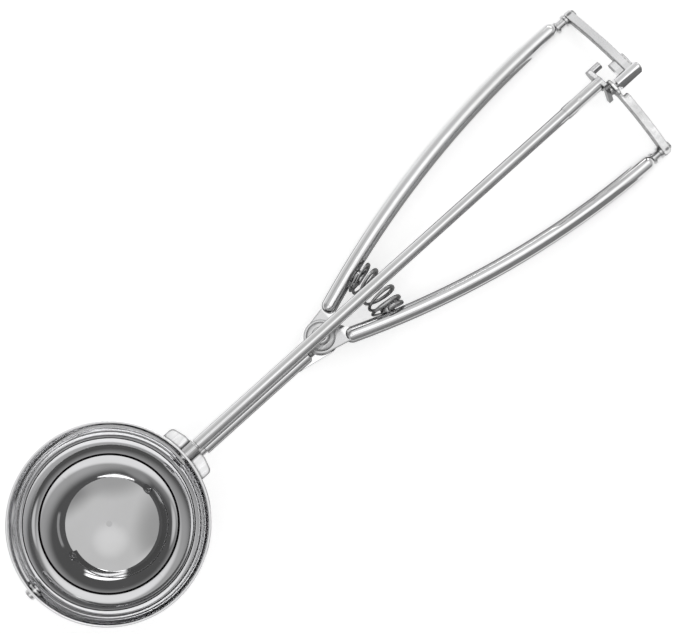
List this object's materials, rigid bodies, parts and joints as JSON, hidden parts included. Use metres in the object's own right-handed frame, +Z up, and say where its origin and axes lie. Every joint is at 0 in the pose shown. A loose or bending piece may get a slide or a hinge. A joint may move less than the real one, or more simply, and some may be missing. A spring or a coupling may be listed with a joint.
{
  "type": "lever ice cream scoop",
  "caption": "Round-bowl ice cream scoop whose squeezed spring handle turns a shaft that sweeps a thin scraper blade round the inside of the bowl.",
  "frame": {"origin": "bench plane, under the middle of the overall box", "axes": "+Z up from the bench with the bowl opening upwards; +Y from the bowl to the handle; +X to the right seen from the bowl's end of the handle, above"},
  "size_m": [0.0606, 0.2424, 0.036],
  "materials": {
    "bowl_steel": "mirror-polished pressed stainless steel, inside and out",
    "machined_steel": "turned stainless steel, polished, with fine turning marks",
    "bracket_steel": "polished stainless plate, brazed to the bowl",
    "rod_steel": "polished round bar with faint marks along it",
    "brushed_flat_steel": "lightly brushed pressed plate",
    "spring_wire": "drawn spring wire, polished",
    "arm_steel": "polished pressed steel channel, duller inside",
    "link_steel": "polished pressed steel, edges rounded by barrelling",
    "scraper_steel": "polished spring-steel strip"
  },
  "bodies": {
    "frame": {"bowl": "bowl_steel", "shaft_bush": "machined_steel", "bowl_bracket": "bracket_steel", "stem": "rod_steel", "tip_pin": "machined_steel", "pivot_rivet": "machined_steel", "pivot_washer": "brushed_flat_steel", "spring": "spring_wire"},
    "right_handle": {"right_arm": "arm_steel", "right_spring_peg": "machined_steel", "right_hinge_pin": "machined_steel", "right_hinge_spacer": "machined_steel"},
    "left_handle": {"left_arm": "arm_steel", "left_spring_peg": "machined_steel", "left_hinge_pin": "machined_steel", "left_hinge_spacer": "machined_steel"},
    "left_link": {"left_link": "link_steel", "knee_pin": "machined_steel", "knee_dog": "machined_steel"},
    "right_link": {"right_link": "link_steel"},
    "turning_shaft": {"shaft": "rod_steel", "scraper": "scraper_steel", "crank_fork": "link_steel", "cross_pin": "machined_steel"}
  },
  "joints": [
    {"name": "right_handle_squeeze", "type": "hinge", "parent": "frame", "child": "right_handle", "pos_m": [0, -0.00654, 0.01455], "axis": [0, 0.0854, 0.9963], "range_deg": [0, 2.8], "stiffness_Nm_per_rad": 8, "springref_deg": -4.58, "deforming": ["spring"]},
    {"name": "left_handle_squeeze", "type": "hinge", "parent": "frame", "child": "left_handle", "pos_m": [0, -0.00667, 0.01305], "axis": [0, 0.0854, 0.9963], "range_deg": [-2.8, 0]},
    {"name": "left_link_turn", "type": "hinge", "parent": "left_handle", "child": "left_link", "pos_m": [-0.0224, 0.11714, 0.00204], "axis": [0, 0.9963, -0.0854], "range_deg": [-25.2, 0]},
    {"name": "right_link_turn", "type": "hinge", "parent": "right_handle", "child": "right_link", "pos_m": [0.0275, 0.11057, 0.0026], "axis": [0, 0.9963, -0.0854], "range_deg": [0, 28]},
    {"name": "scraper_shaft_turn", "type": "hinge", "parent": "frame", "child": "turning_shaft", "pos_m": [0, -0.0896, 0.0303], "axis": [0, -0.9963, 0.0854], "range_deg": [0, 149.8]}
  ],
  "couplings": [
    {"joint": "left_handle_squeeze", "follows": "right_handle_squeeze", "ratio": -1},
    {"joint": "left_link_turn", "follows": "right_handle_squeeze", "ratio": -9},
    {"joint": "right_link_turn", "follows": "right_handle_squeeze", "ratio": 10},
    {"joint": "scraper_shaft_turn", "follows": "right_handle_squeeze", "ratio": 53.5}
  ]
}
